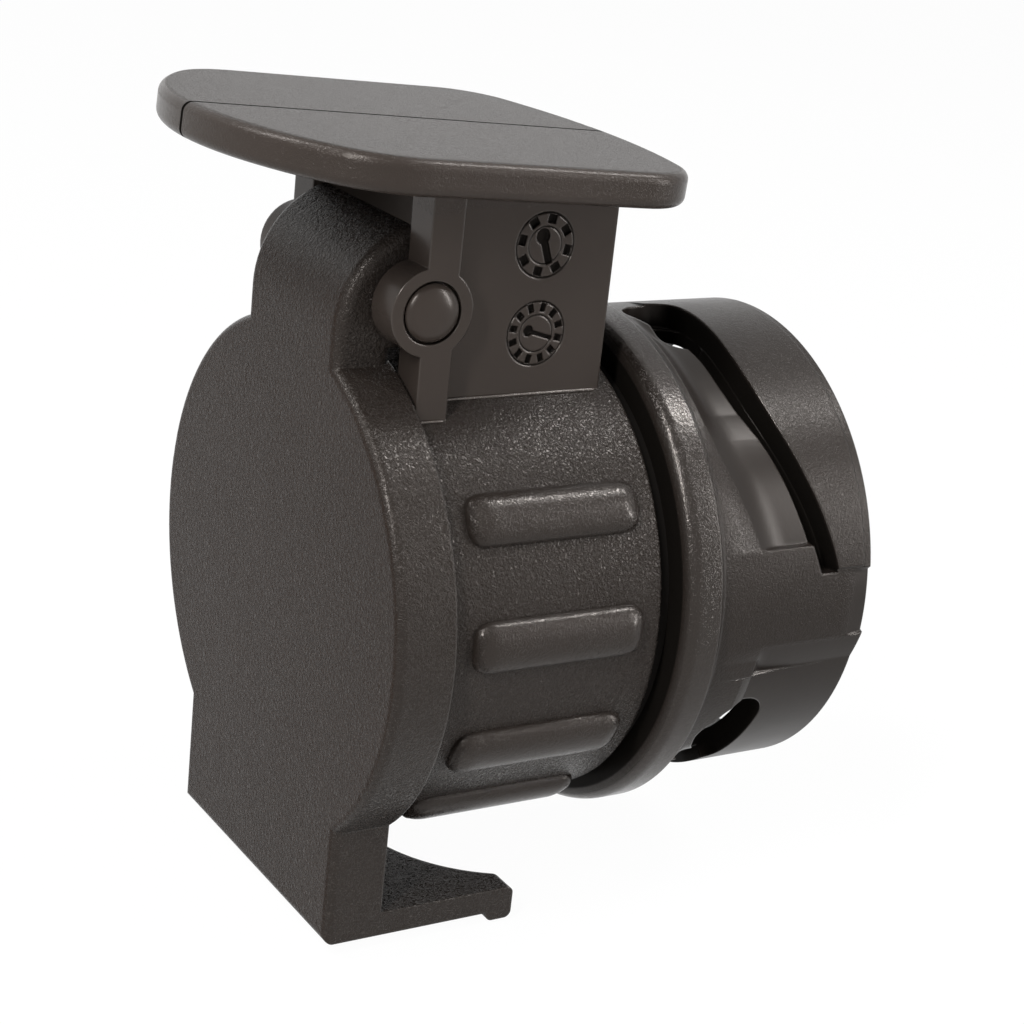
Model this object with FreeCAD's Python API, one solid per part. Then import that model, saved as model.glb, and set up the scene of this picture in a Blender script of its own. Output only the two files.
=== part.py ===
import FreeCAD, Part
import math
import os

os.makedirs("parts", exist_ok=True)
V = FreeCAD.Vector

# Frame: X is the cylinder's axis and points out of the plug end, Z is up.
# The origin is on the axis, in the collar face that seats on the vehicle socket.

# Bayonet sleeve and collar
sleeve_reach = 18.7
sleeve_radius = 24.0
land_height = 0.35
sleeve_bore_radius = 20.6
collar_width = 3.7
collar_radius = 25.3
collar_shoulder = 1.5
neck_length = 5.7
neck_radius = 20.5
neck_wall = 3.0
lug_starts = 3
slot_depth = 1.9
ramp_depth = 1.3
scoop_depth = 0.8
rim_chamfer = 0.3
pocket_depth = 0.7
pocket_angle = 12.5
pocket_slope_angle = 7.5
pocket_start = 6.2
gate_lead_length = 2.7
gate_lead_depth = 0.3
gate_lead_angle = 15.5
gate_lead_from = 10.5

# Housing barrel
groove_width = 1.4
barrel_radius = 23.1
socket_bore_radius = 21.4
housing_length = 24.9
skirt_seat_step = 0.8
skirt_clearance = 0.5
bulkhead_thickness = 2.6
wiring_radius = 13.0
barrel_edge = 0.5

# Grip ribs
rib_length = 17.6
rib_width = 4.4
rib_height = 1.0
rib_pitch = 27.9
rib_first = 3.1
rib_count = 5
rib_end_gap = 2.3
rib_corner = 1.5
rib_round = 0.8

# Hinge, webs and bosses
hinge_height = 28.8
hinge_inset = 1.2
pin_radius = 2.0
pin_head_radius = 2.55
pin_head_height = 1.0
pin_head_proud = 0.4
pin_recess_gap = 0.3
boss_radius = 4.0
boss_face = 13.2
ear_inner = 9.4
web_face = 11.2
web_end_gap = 2.0
strip_width = 3.1
strip_gap = 0.4

# Top plate
plate_nose_overhang = 11.5
plate_tail_reach = 32.0
plate_half_width = 20.2
plate_thickness = 3.2
plate_nose_height = 44.5
plate_slope = 3.6
plate_nose_radius = 26.0
plate_tail_radius = 60.0
plate_nose_corner = 9.0
plate_tail_corner = 6.5
plate_edge = 0.9

# Lid
lid_depth = 5.7
lid_wall = 2.3
skirt_wall = 1.9
lid_edge = 0.9
knuckle_gap = 0.4
hood_radius = 10.0
hood_drop = 2.7
hood_top_setback = 6.6
hood_cavity_radius = 4.5
hood_cavity_half = 5.0
knuckle_radius = 4.2
hood_edge = 1.1
lug_half_width = 16.1
lug_bottom = 30.2
lip_thickness = 2.4
lip_reach = 20.1
notch_floor = 11.5
notch_radius = 15.0
bead_length = 2.8
bead_drop = 0.9
gasket_thickness = 1.0
gasket_gap = 0.1
gasket_width = 2.7

# Lid spring
spring_wire = 1.1
spring_mean_radius = 3.15
spring_turns = 6
spring_leg = 9.6
spring_leg_drop = 12.0

# Seven-contact carrier and its contacts
carrier_flange = 3.0
carrier_gap = 0.2
carrier_radius = 16.2
carrier_recess = 2.6
carrier_pocket = 3.4
carrier_edge = 0.6
key_width = 4.6
key_depth = 1.6
contact_circle = 10.2
contact_bore = 2.5
contact_wall = 0.6
contact_depth = 8.3
contact_recess = 0.4
tail_radius = 1.5
tail_reach = 1.5
contact_fit = 0.05
centre_pin_radius = 2.4
centre_well_radius = 4.0
screw_circle = 18.4
screw_first = 45.0
screw_radius = 1.25
screw_head_radius = 2.0
screw_head_height = 1.6
screw_short = 0.5
screw_fit = 0.1

# Plug insert, ring and pins
turn_gap = 0.3
insert_flange = 7.0
insert_tower_radius = 18.0
insert_tower_height = 3.9
insert_key_width = 5.0
insert_key_depth = 1.6
ring_thickness = 1.3
ring_inner_gap = 0.6
ring_depth = 0.8
ring_fit = 0.1
ring_gap = 5.0
pin_circle = 11.45
pin_count = 7
pin_pitch = 40.0
plug_pin_radius = 1.25
plug_pin_length = 10.5
plug_pin_root = 5.5
plug_pin_root_wall = 0.35

# Wires
wire_radius = 0.9
wire_bundle_radius = 2.5
wire_bend = 2.0
wire_start = 1.2
wire_finish = 1.7

# Mould date dials engraved on the near web
dial_radius = 3.05
dial_depth = 0.4
dial_spacing = 8.1
dial_inset = 7.4
dial_line = 0.16
dial_drop = 5.4

# Places that follow from the sizes
collar_back = -collar_width
barrel_back = collar_back - groove_width
housing_front = barrel_back - housing_length
lid_inner = housing_front - gasket_thickness - gasket_gap
lid_front = lid_inner - lid_wall
lid_back = lid_front + lid_depth
lid_radius = barrel_radius - skirt_seat_step + skirt_clearance + skirt_wall
strip_front = lid_back + strip_gap
strip_back = strip_front + strip_width
hinge_x = lid_back + hinge_inset
hood_centre_height = hinge_height - hood_drop
web_back = barrel_back - web_end_gap
neck_front = collar_back - neck_length
bulkhead_back = neck_front - 0.1
bulkhead_front = bulkhead_back - bulkhead_thickness
flange_front = bulkhead_front - carrier_flange
carrier_front = housing_front + carrier_recess
disc_back = neck_front + neck_wall
insert_rear = disc_back + 0.1
insert_shoulder = insert_rear + insert_flange
insert_front = insert_shoulder + insert_tower_height
knuckle_half = ear_inner - knuckle_gap
plate_nose = lid_front - plate_nose_overhang
plate_tail = lid_front + plate_tail_reach


def revolve(points):
    """Solid of revolution about X from (x, radius) points."""
    wire = Part.makePolygon([V(x, 0, r) for x, r in points + points[:1]])
    return Part.Face(wire).revolve(V(0, 0, 0), V(1, 0, 0), 360)


def ring(x0, x1, outer, inner=0.0):
    """Tube or disc along X."""
    solid = Part.makeCylinder(outer, x1 - x0, V(x0, 0, 0), V(1, 0, 0))
    if inner > 0:
        solid = solid.cut(Part.makeCylinder(inner, x1 - x0 + 2, V(x0 - 1, 0, 0), V(1, 0, 0)))
    return solid


def rod(x0, x1, radius, y, z):
    """Round bar along X at a place off the axis."""
    return Part.makeCylinder(radius, x1 - x0, V(x0, y, z), V(1, 0, 0))


def cross_rod(y0, y1, radius, x, z):
    """Round bar along Y."""
    return Part.makeCylinder(radius, y1 - y0, V(x, y0, z), V(0, 1, 0))


def box(x0, x1, y0, y1, z0, z1):
    return Part.makeBox(x1 - x0, y1 - y0, z1 - z0, V(x0, y0, z0))


def spot(radius, degrees):
    """Place on a circle about the axis, counted from the near side upwards."""
    a = math.radians(degrees)
    return -radius * math.cos(a), radius * math.sin(a)


def turned(shape, degrees):
    """Copy turned about the axis, with near side going up for positive angles."""
    copy = shape.copy()
    copy.rotate(V(0, 0, 0), V(1, 0, 0), -degrees)
    return copy


def soften(shape, radius, choose):
    """Fillet the edges that the test picks."""
    return shape.makeFillet(radius, [e for e in shape.Edges if choose(e)])


def one(shape):
    """The single solid of a result."""
    shape = shape.removeSplitter()
    return shape.Solids[0] if len(shape.Solids) == 1 else shape


def save(name, shape):
    shape = shape if isinstance(shape, Part.Shape) else Part.makeCompound(shape)
    shape.exportStep("parts/" + name + ".step")
    print(name, len(shape.Solids), round(shape.Volume, 1), shape.isValid())


def wrapped(points, outer, inner):
    """Solid between two radii whose outline is given as (angle, x) on the cylinder."""
    surface = Part.Cylinder()
    surface.Radius = outer
    uv = [(math.radians(-t), x) for t, x in points]
    area = sum(p[0] * q[1] - q[0] * p[1] for p, q in zip(uv, uv[1:] + uv[:1]))
    uv = uv if area > 0 else uv[::-1]
    uv = [FreeCAD.Base.Vector2d(u, v) for u, v in uv]
    edges = []
    for p, q in zip(uv, uv[1:] + uv[:1]):
        edges.append(Part.Geom2d.Line2dSegment(p, q).toShape(surface))
    face = Part.Face([Part.Wire(edges)])
    face.validate()
    solid = face.makeOffsetShape(inner - outer, 0.001, fill=True)
    solid.Placement = FreeCAD.Placement(V(0, 0, 0), FreeCAD.Rotation(V(0, -1, 0), V(0, 0, -1), V(1, 0, 0)))
    return solid


def starts(shape):
    """The feature at every bayonet start."""
    return [turned(shape, i * 360.0 / lug_starts) for i in range(lug_starts)]


# Outlines of one bayonet start as (angle, share of the sleeve's reach): the gate lies at angle 0
land_outline = [
    (11.8, 0.738), (29.3, 0.599), (41.2, 0.513), (54.4, 0.428), (67.0, 0.385), (77.0, 0.348),
    (90.0, 0.337), (100.0, 0.337), (107.2, 0.353), (107.2, 0.984), (60.0, 0.984), (46.7, 0.941),
    (33.3, 0.930), (19.7, 0.920), (11.8, 0.925)]
slot_outline = [
    (11.1, 0.658), (11.9, 0.770), (29.3, 0.647), (41.2, 0.567), (54.4, 0.476), (67.0, 0.449),
    (72.0, 0.449), (72.0, 0.262), (66.8, 0.294), (59.2, 0.305), (49.2, 0.337), (37.6, 0.460),
    (21.2, 0.567)]
hole_outline = [
    (66.0, 0.460), (71.5, 0.497), (79.6, 0.513), (88.7, 0.497), (94.6, 0.455), (99.4, 0.326),
    (101.0, 0.278), (98.6, 0.134), (95.5, 0.112), (88.0, 0.096), (76.0, 0.102), (68.0, 0.171),
    (64.5, 0.299)]
scoop_outline = [
    (17.9, 0.326), (18.9, 0.299), (22.5, 0.241), (28.3, 0.187), (36.5, 0.123), (43.8, 0.075),
    (50.3, 0.043), (50.6, 0.353), (49.2, 0.364), (37.6, 0.487), (21.2, 0.594), (17.8, 0.620)]
ramp_outline = [
    (50.3, 0.043), (58.6, 0.037), (69.6, 0.053), (76.6, 0.053), (84.0, 0.086), (78.1, 0.182),
    (74.9, 0.267), (66.8, 0.316), (59.2, 0.326), (50.6, 0.353)]


def patch(outline, outer, inner):
    """An outline given in shares of the sleeve's reach, at every bayonet start."""
    return starts(wrapped([(angle, share * sleeve_reach) for angle, share in outline], outer, inner))


def sector(points, first, sweep):
    """Part of a ring, from (x, radius) points, that runs down from an angle."""
    face = Part.Face(Part.makePolygon([V(x, 0, r) for x, r in points + points[:1]]))
    return turned(face.revolve(V(0, 0, 0), V(1, 0, 0), sweep), first - 90)


def pocket(over):
    """Lowered lower half beyond the band beside the collar, with a slope at each end."""
    floor = sleeve_radius - pocket_depth
    x0, x1 = pocket_start, sleeve_reach + 1
    section = [(x0, floor), (x1, floor), (x1, over), (x0, over)]
    cuts = [sector(section, -pocket_angle, 180 - 2 * pocket_angle)]
    high = pocket_slope_angle - pocket_angle
    corners = [(sleeve_radius, high), (floor, -pocket_angle), (over, -pocket_angle), (over, high)]
    for mirror in (False, True):
        places = [spot(r, 180 - t if mirror else t) for r, t in corners]
        outline = Part.makePolygon([V(x0, y, z) for y, z in places + places[:1]])
        cuts.append(Part.Face(outline).extrude(V(x1 - x0, 0, 0)))
    return cuts


def sleeve():
    """Collar and bayonet barrel with slots, lands, ramps, locking holes and a lowered half."""
    top = sleeve_radius
    over = top + land_height + 1.0
    body = revolve([
        (neck_front, wiring_radius), (neck_front, neck_radius), (collar_back, neck_radius),
        (collar_back, collar_radius), (0, collar_radius), (0, top),
        (sleeve_reach - rim_chamfer, top), (sleeve_reach, top - rim_chamfer),
        (sleeve_reach, sleeve_bore_radius), (disc_back, sleeve_bore_radius),
        (disc_back, wiring_radius)])
    body = soften(body, collar_shoulder, lambda e: abs(e.BoundBox.XMin - collar_back) < 0.01
                  and e.BoundBox.XLength < 0.01 and e.BoundBox.ZMax > collar_radius - 0.01)
    body = body.fuse(patch(land_outline, top + land_height, top - 0.3)[:2])
    body = body.cut(pocket(over))
    cuts = patch(slot_outline, over, top - slot_depth)
    cuts += patch(hole_outline, over, sleeve_bore_radius - 1.0)
    cuts += patch(scoop_outline, over, top - scoop_depth)
    cuts += patch(ramp_outline, over, top - ramp_depth)
    lead = gate_lead_depth / gate_lead_length
    x0, x1 = sleeve_reach - gate_lead_length, sleeve_reach + 1
    cone = [(x0, top), (x1, top - lead * (x1 - x0)), (x1, over), (x0, over)]
    cuts += starts(sector(cone, gate_lead_from, gate_lead_angle))
    seat = insert_shoulder - 0.05
    cuts.append(ring(seat, seat + ring_thickness + 0.15, sleeve_bore_radius + ring_depth))
    for i in range(3):
        y, z = spot(screw_circle, screw_first + 120 * i)
        cuts.append(rod(neck_front - 1, disc_back + 1, screw_radius + screw_fit, y, z))
    return one(body.cut(cuts))


def plate_bottom(x):
    """Height of the plate's underside above the axis at a place along X."""
    slope = math.radians(plate_slope)
    return plate_nose_height - plate_thickness / math.cos(slope) - (x - plate_nose) * math.tan(slope)


def plate():
    """Top plate: bowed ends, straight sides, rounded corners, tilted down to the plug end."""
    nose, tail = plate_nose, plate_tail
    w = plate_half_width
    t = plate_thickness
    slab = box(nose, tail, -w, w, 0, t)
    bow = Part.makeCylinder(plate_nose_radius, t, V(nose + plate_nose_radius, 0, 0))
    slab = slab.common(bow.fuse(box(nose + plate_nose_radius, tail, -w, w, 0, t)))
    slab = one(slab.common(Part.makeCylinder(plate_tail_radius, t, V(tail - plate_tail_radius, 0, 0))))
    middle = (nose + tail) / 2
    upright = [e for e in slab.Edges if e.BoundBox.ZLength > t - 0.01 and abs(e.BoundBox.YMin) > w - 0.5]
    slab = slab.makeFillet(plate_nose_corner, [e for e in upright if e.BoundBox.XMin < middle])
    upright = [e for e in slab.Edges if e.BoundBox.ZLength > t - 0.01 and e.BoundBox.XMin > middle
               and abs(e.BoundBox.YMin) > w - 0.5]
    slab = slab.makeFillet(plate_tail_corner, upright)
    slab = soften(slab, plate_edge, lambda e: e.BoundBox.ZLength < 0.01)
    slab.translate(V(0, 0, plate_nose_height - t))
    slab.rotate(V(nose, 0, plate_nose_height), V(0, 1, 0), plate_slope)
    return slab


def rib():
    """One grip rib at angle zero: a pill on the barrel's near side."""
    x0 = barrel_back - rib_end_gap - rib_length
    x1 = x0 + rib_length
    half = rib_width / 2
    bar = box(x0, x1, -barrel_radius - 4, -barrel_radius + 1.0, -half, half)
    bar = soften(bar, rib_corner, lambda e: e.BoundBox.YLength > 1)
    top = ring(x0 - 1, x1 + 1, barrel_radius + rib_height, barrel_radius - 0.6)
    bar = one(bar.common(top))
    outer = [e for e in bar.Edges if all(
        abs(math.hypot(v.Y, v.Z) - barrel_radius - rib_height) < 0.01 for v in e.Vertexes)]
    return bar.makeFillet(rib_round, outer)


def dials():
    """Tools that engrave the two mould date dials on the near web."""
    x = web_back - dial_inset
    face = -web_face
    near, deep = face - 1, face + dial_depth
    r = dial_radius
    cuts = []
    for n, ticks, size, hand, hub, pointer in ((0, 8, 0.31, 0.13, 0.24, -71), (1, 12, 0.2, 0.06, 0.17, -17)):
        z = plate_bottom(x) - dial_drop - n * dial_spacing
        for radius, line in ((r, dial_line), (r * 0.58, dial_line * 0.75)):
            groove = cross_rod(near, face + 0.2, radius, x, z)
            cuts.append(groove.cut(cross_rod(face - 2, face + 1, radius - line, x, z)))
        for i in range(ticks):
            notch = box(x + r * 0.66, x + r * 0.93, near, deep, z - r * size / 2, z + r * size / 2)
            notch.rotate(V(x, 0, z), V(0, 1, 0), i * 360.0 / ticks + 12)
            cuts.append(notch)
        arrow = box(x - r * 0.3, x + r * 0.6, near, deep, z - r * hand, z + r * hand)
        arrow = arrow.fuse(cross_rod(near, deep, r * hub, x - r * 0.28, z))
        arrow.rotate(V(x, 0, z), V(0, 1, 0), -pointer)
        cuts.append(arrow)
    return cuts


def housing():
    """Barrel, ribs, webs, bosses, strips and plate in one moulding."""
    seat = barrel_radius - skirt_seat_step
    skin = revolve([
        (housing_front, 0), (housing_front, seat), (strip_front, seat),
        (strip_front, barrel_radius), (barrel_back, barrel_radius), (barrel_back, 0)])
    skin = soften(skin, barrel_edge, lambda e: abs(e.BoundBox.XMin - barrel_back) < 0.01
                  and e.BoundBox.ZMax > barrel_radius - 0.01 and e.BoundBox.XLength < 0.01)
    parts = []
    bar = rib()
    for i in range(rib_count):
        angle = rib_first + (1 - i) * rib_pitch
        parts += [turned(bar, angle), turned(bar.mirror(V(0, 0, 0), V(0, 1, 0)), -angle)]
    top = plate_bottom(strip_front) + 0.8
    low = socket_bore_radius * 0.75
    for side in (-1, 1):
        inner, wall, face = side * ear_inner, side * web_face, side * boss_face
        parts.append(box(strip_front + 1, web_back, min(inner, wall), max(inner, wall), low, top))
        parts.append(box(strip_front, strip_back, min(inner, face), max(inner, face), low, top))
        parts.append(cross_rod(min(inner, face), max(inner, face), boss_radius, hinge_x, hinge_height))
    parts.append(plate())
    body = skin.fuse(parts)
    cuts = [
        ring(housing_front - 1, bulkhead_front, socket_bore_radius),
        ring(bulkhead_front - 1, bulkhead_back + 1, wiring_radius),
        ring(bulkhead_back, barrel_back + 1, neck_radius + 0.1),
        cross_rod(-boss_face - 1, boss_face + 1, pin_radius + 0.02, hinge_x, hinge_height)]
    recess = pin_head_radius + pin_recess_gap
    for side in (-1, 1):
        a, b = side * (boss_face - pin_head_height), side * (boss_face + 1)
        cuts.append(cross_rod(min(a, b), max(a, b), recess, hinge_x, hinge_height))
    for i in range(3):
        y, z = spot(screw_circle, screw_first + 120 * i)
        cuts.append(rod(bulkhead_front - 1, bulkhead_back + 1, screw_radius + screw_fit, y, z))
    line = box(plate_nose - 1, plate_tail + 1, -0.07, 0.07, -0.12, 1)
    line.translate(V(0, 0, plate_nose_height))
    line.rotate(V(plate_nose, 0, plate_nose_height), V(0, 1, 0), plate_slope)
    cuts.append(line)
    return one(body.cut(cuts + dials()))


def lid():
    """Cap with skirt, lug, finger lip and the hood that carries the hinge."""
    inside = lid_radius - skirt_wall
    cap = ring(lid_front, lid_back, lid_radius)
    block = box(lid_front, lid_back, -lug_half_width, lug_half_width, -lug_bottom, -lid_radius / 2)
    body = one(cap.fuse(block))
    body = soften(body, lid_edge, lambda e: e.BoundBox.XMax < lid_front + 0.01)
    end = lid_front + lip_reach
    z = -lug_bottom
    lip = box(lid_back - 2, end, -lug_half_width, lug_half_width, z, z + lip_thickness)
    bead = box(end - bead_length, end, -lug_half_width, lug_half_width, z - bead_drop, z + lip_thickness / 2)
    bead = soften(bead, bead_drop * 0.8, lambda e: e.BoundBox.YLength > 5 and e.BoundBox.ZMax < z)
    lip = one(lip.fuse(bead))
    lip = soften(lip, 0.7, lambda e: e.BoundBox.YLength > 5 and e.BoundBox.XMin > end - 0.01
                 and e.BoundBox.ZMin > z)
    notch = Part.makeCylinder(notch_radius, 4 * lip_thickness,
                              V(lid_front + notch_floor + notch_radius, 0, z - 2 * lip_thickness))
    lip = lip.cut(notch)
    body = body.fuse([lip, hood()])
    cuts = [ring(lid_inner, lid_back + 0.01, inside)]
    cuts.append(cross_rod(-hood_cavity_half, hood_cavity_half, hood_cavity_radius, hinge_x, hinge_height))
    cuts.append(cross_rod(-knuckle_half - 1, knuckle_half + 1, pin_radius + 0.06, hinge_x, hinge_height))
    return one(body.cut(cuts))


def hood():
    """Hinge knuckle: front tangent to the cap, rounded top, round back about the pin."""
    low = math.sqrt(lid_radius ** 2 - knuckle_half ** 2) - 1.2
    centre = (lid_front + hood_radius, hood_centre_height)
    run = hood_radius - hood_top_setback
    peak = (lid_front + hood_top_setback, hood_centre_height + math.sqrt(hood_radius ** 2 - run ** 2))
    half_way = math.radians(180 - math.degrees(math.acos(run / hood_radius)) / 2)
    mid = (centre[0] + hood_radius * math.cos(half_way), centre[1] + hood_radius * math.sin(half_way))
    r = knuckle_radius
    back = (hinge_x + r, hinge_height)
    under = (hinge_x, hinge_height - r)
    corner = (hinge_x + r * math.cos(-math.pi / 4), hinge_height + r * math.sin(-math.pi / 4))

    def at(point):
        return V(point[0], -knuckle_half, point[1])

    edges = [
        Part.LineSegment(at((lid_front, low)), at((lid_front, hood_centre_height))).toShape(),
        Part.Arc(at((lid_front, hood_centre_height)), at(mid), at(peak)).toShape(),
        Part.LineSegment(at(peak), at(back)).toShape(),
        Part.Arc(at(back), at(corner), at(under)).toShape(),
        Part.LineSegment(at(under), at((lid_back, under[1]))).toShape(),
        Part.LineSegment(at((lid_back, under[1])), at((lid_back, low))).toShape(),
        Part.LineSegment(at((lid_back, low)), at((lid_front, low))).toShape()]
    solid = Part.Face(Part.Wire(edges)).extrude(V(0, 2 * knuckle_half, 0))
    return soften(solid, hood_edge, lambda e: e.BoundBox.YLength < 0.01
                  and e.BoundBox.ZMin > low - 0.01 and e.BoundBox.XMax < peak[0] + 0.01
                  and e.BoundBox.ZLength > 1)


def pin():
    """Hinge pin with a low domed head at each end."""
    seat = boss_face - pin_head_height + 0.05
    tip = boss_face + pin_head_proud
    shaft = cross_rod(-seat, seat, pin_radius, hinge_x, hinge_height)
    heads = []
    for side in (-1, 1):
        a, b = side * seat, side * tip
        head = cross_rod(min(a, b), max(a, b), pin_head_radius, hinge_x, hinge_height)
        heads.append(soften(head, 0.6, lambda e: abs(abs(e.BoundBox.YMin) - tip) < 0.01
                            and e.BoundBox.YLength < 0.01))
    return one(shaft.fuse(heads))


def spring():
    """Close-wound torsion spring: coils round the pin and a leg down to the barrel."""
    radius = spring_wire / 2
    step = spring_wire * 0.96
    half = (spring_turns - 1) * step / 2
    inner = spring_mean_radius - radius
    outline = [V(half + step / 2, inner, 0), V(-half - step / 2, inner, 0)]
    for i in range(spring_turns):
        y = i * step - half
        outline.append(V(y - step / 2, spring_mean_radius + radius * 0.35, 0))
        outline.append(V(y - step / 4, spring_mean_radius + radius, 0))
        outline.append(V(y + step / 4, spring_mean_radius + radius, 0))
    outline.append(V(half + step / 2, spring_mean_radius + radius * 0.35, 0))
    coil = Part.Face(Part.makePolygon(outline + outline[:1])).revolve(V(0, 0, 0), V(1, 0, 0), 360)
    coil.rotate(V(0, 0, 0), V(0, 0, 1), 90)
    drop = math.radians(90 + spring_leg_drop)
    foot = V(-spring_mean_radius * math.cos(drop), -half, -spring_mean_radius * math.sin(drop))
    leg = Part.makeCylinder(radius, spring_leg, foot, V(math.sin(drop), 0, math.cos(drop)))
    whole = coil.fuse(leg)
    whole.translate(V(hinge_x, 0, hinge_height))
    return one(whole)


def gasket():
    """Flat sealing ring held in the lid."""
    outer = lid_radius - skirt_wall - 0.5
    return ring(lid_inner, lid_inner + gasket_thickness, outer, outer - gasket_width)


def seal():
    """Rubber ring at the bottom of the groove between barrel and collar."""
    return ring(barrel_back + 0.1, collar_back, neck_radius + 1.4, neck_radius + 0.02)


pocket_floor = bulkhead_front - carrier_pocket
contact_front = carrier_front + contact_recess
contact_angles = [30 + 60 * i for i in range(6)]


def carrier():
    """Insulating block: flange, tower with key slot, contact bores and wiring pocket."""
    tower = ring(carrier_front, bulkhead_front, carrier_radius)
    front = [e for e in tower.Edges if e.BoundBox.XMax < carrier_front + 0.01]
    tower = tower.makeChamfer(carrier_edge, front)
    flange = ring(flange_front, bulkhead_front, socket_bore_radius - carrier_gap)
    body = tower.fuse(flange)
    cuts = [ring(pocket_floor, bulkhead_front + 1, wiring_radius)]
    cuts.append(box(carrier_front - 1, flange_front, -key_width / 2, key_width / 2,
                    carrier_radius - key_depth, carrier_radius + 2))
    outer = contact_bore + contact_wall + contact_fit
    for angle in contact_angles:
        y, z = spot(contact_circle, angle)
        cuts.append(rod(carrier_front - 1, pocket_floor + 1, outer, y, z))
    cuts.append(rod(carrier_front - 1, pocket_floor + 1, centre_well_radius, 0, 0))
    for i in range(3):
        y, z = spot(screw_circle, screw_first + 120 * i)
        cuts.append(rod(flange_front - 1, bulkhead_front + 1, screw_radius + screw_fit, y, z))
    return one(body.cut(cuts))


def contact_tube(angle):
    """Brass tube open to the front, closed behind by a plug with a solder tail."""
    y, z = spot(contact_circle, angle)
    tube = rod(contact_front, pocket_floor, contact_bore + contact_wall, y, z)
    tail = rod(pocket_floor, pocket_floor + tail_reach, tail_radius, y, z)
    bore = rod(contact_front - 1, contact_front + contact_depth, contact_bore, y, z)
    return one(tube.fuse(tail).cut(bore))


def contact_pin():
    """Solid brass pin on a disc that closes the back of the centre well."""
    floor = contact_front + contact_depth
    shank = rod(contact_front + 0.6, floor, centre_pin_radius, 0, 0)
    shank = soften(shank, 0.9, lambda e: e.BoundBox.XMax < contact_front + 0.61)
    base = rod(floor, pocket_floor, centre_well_radius - contact_fit, 0, 0)
    tail = rod(pocket_floor, pocket_floor + tail_reach, tail_radius, 0, 0)
    return one(shank.fuse([base, tail]))


def screws():
    """Three pan-head screws through carrier and bulkhead into the sleeve's neck."""
    end = disc_back - screw_short
    found = []
    for i in range(3):
        y, z = spot(screw_circle, screw_first + 120 * i)
        head = rod(flange_front - screw_head_height, flange_front, screw_head_radius, y, z)
        head = soften(head, 0.5, lambda e: e.BoundBox.XMax < flange_front - screw_head_height + 0.01)
        shaft = rod(flange_front, end, screw_radius, y, z)
        front = flange_front - screw_head_height
        slots = [box(front - 1, front + 0.8, y - 1.2, y + 1.2, z - 0.25, z + 0.25),
                 box(front - 1, front + 0.8, y - 0.25, y + 0.25, z - 1.2, z + 1.2)]
        found.append(one(head.fuse(shaft).cut(slots)))
    return Part.makeCompound(found)


pin_angles = [110 + pin_pitch * i for i in range(pin_count)]
plug_root_radius = plug_pin_radius + plug_pin_root_wall


def insert():
    """Plug end's contact block: flange held by the ring, tower with key slot and pin holes."""
    outer = sleeve_bore_radius - turn_gap
    tower = ring(insert_shoulder, insert_front, insert_tower_radius)
    body = one(ring(insert_rear, insert_shoulder, outer).fuse(tower))
    body = body.makeChamfer(0.6, [e for e in body.Edges if e.BoundBox.XMin > insert_front - 0.01])
    cuts = [box(insert_shoulder, insert_front + 1, -insert_key_width / 2, insert_key_width / 2,
                insert_tower_radius - insert_key_depth, insert_tower_radius + 2)]
    for angle in pin_angles:
        y, z = spot(pin_circle, angle)
        hole_radius = plug_root_radius + contact_fit
        cuts.append(rod(insert_front - plug_pin_root, insert_front + 1, hole_radius, y, z))
    return one(body.cut(cuts))


def snap_ring():
    """Split ring in the sleeve's inner groove, in front of the insert's flange."""
    x0 = insert_shoulder + 0.02
    body = ring(x0, x0 + ring_thickness, sleeve_bore_radius + ring_depth - ring_fit,
                insert_tower_radius + ring_inner_gap)
    half = ring_gap / 2
    return one(body.cut(box(x0 - 1, x0 + ring_thickness + 1, -half, half, -barrel_radius, 0)))


def plug_pin(angle):
    """Brass pin with a thicker root in the insert and a rounded tip."""
    y, z = spot(pin_circle, angle)
    tip = insert_front + plug_pin_length
    shank = rod(insert_front - 1, tip, plug_pin_radius, y, z)
    shank = soften(shank, plug_pin_radius * 0.6, lambda e: e.BoundBox.XMin > tip - 0.01)
    return one(shank.fuse(rod(insert_front - plug_pin_root, insert_front, plug_root_radius, y, z)))


def wire(angle, start_radius, end_radius):
    """Short wire from a contact's tail, bent in to the bundle that enters the insert."""
    x0 = pocket_floor + tail_reach
    x3 = insert_rear
    if start_radius == 0:
        return rod(x0, x3, wire_radius, 0, 0)
    p = [V(x0, -start_radius, 0), V(x0 + wire_start, -start_radius, 0), V(x3 - wire_finish, -end_radius, 0),
         V(x3, -end_radius, 0)]
    lines = []
    here = p[0]
    for a, b, c in zip(p, p[1:], p[2:]):
        u = (a - b).normalize()
        w = (c - b).normalize()
        half = u.getAngle(w) / 2
        cut = wire_bend / math.tan(half)
        mid = (u + w).normalize()
        centre = b + mid * (wire_bend / math.sin(half))
        lines.append(Part.LineSegment(here, b + u * cut).toShape())
        lines.append(Part.Arc(b + u * cut, centre - mid * wire_bend, b + w * cut).toShape())
        here = b + w * cut
    lines.append(Part.LineSegment(here, p[3]).toShape())
    section = Part.Wire(Part.makeCircle(wire_radius, p[0], V(1, 0, 0)))
    pipe = Part.Wire(lines).makePipeShell([section], True, False)
    return turned(pipe, angle)


def wires():
    found = [wire(a, contact_circle, wire_bundle_radius) for a in contact_angles]
    found.append(wire(0, 0, 0))
    return Part.makeCompound(found)


save("housing", housing())
save("bayonet_sleeve", sleeve())
save("lid", lid())
save("lid_gasket", gasket())
save("lid_spring", spring())
save("hinge_pin", pin())
save("joint_seal", seal())
save("contact_carrier", carrier())
for number, angle in enumerate(contact_angles):
    save("contact_sleeve_%d" % (number + 1), contact_tube(angle))
save("centre_contact", contact_pin())
save("carrier_screws", screws())
save("plug_insert", insert())
save("insert_ring", snap_ring())
for number, angle in enumerate(pin_angles):
    save("plug_pin_%d" % (number + 1), plug_pin(angle))
save("jumper_wires", wires())
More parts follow.
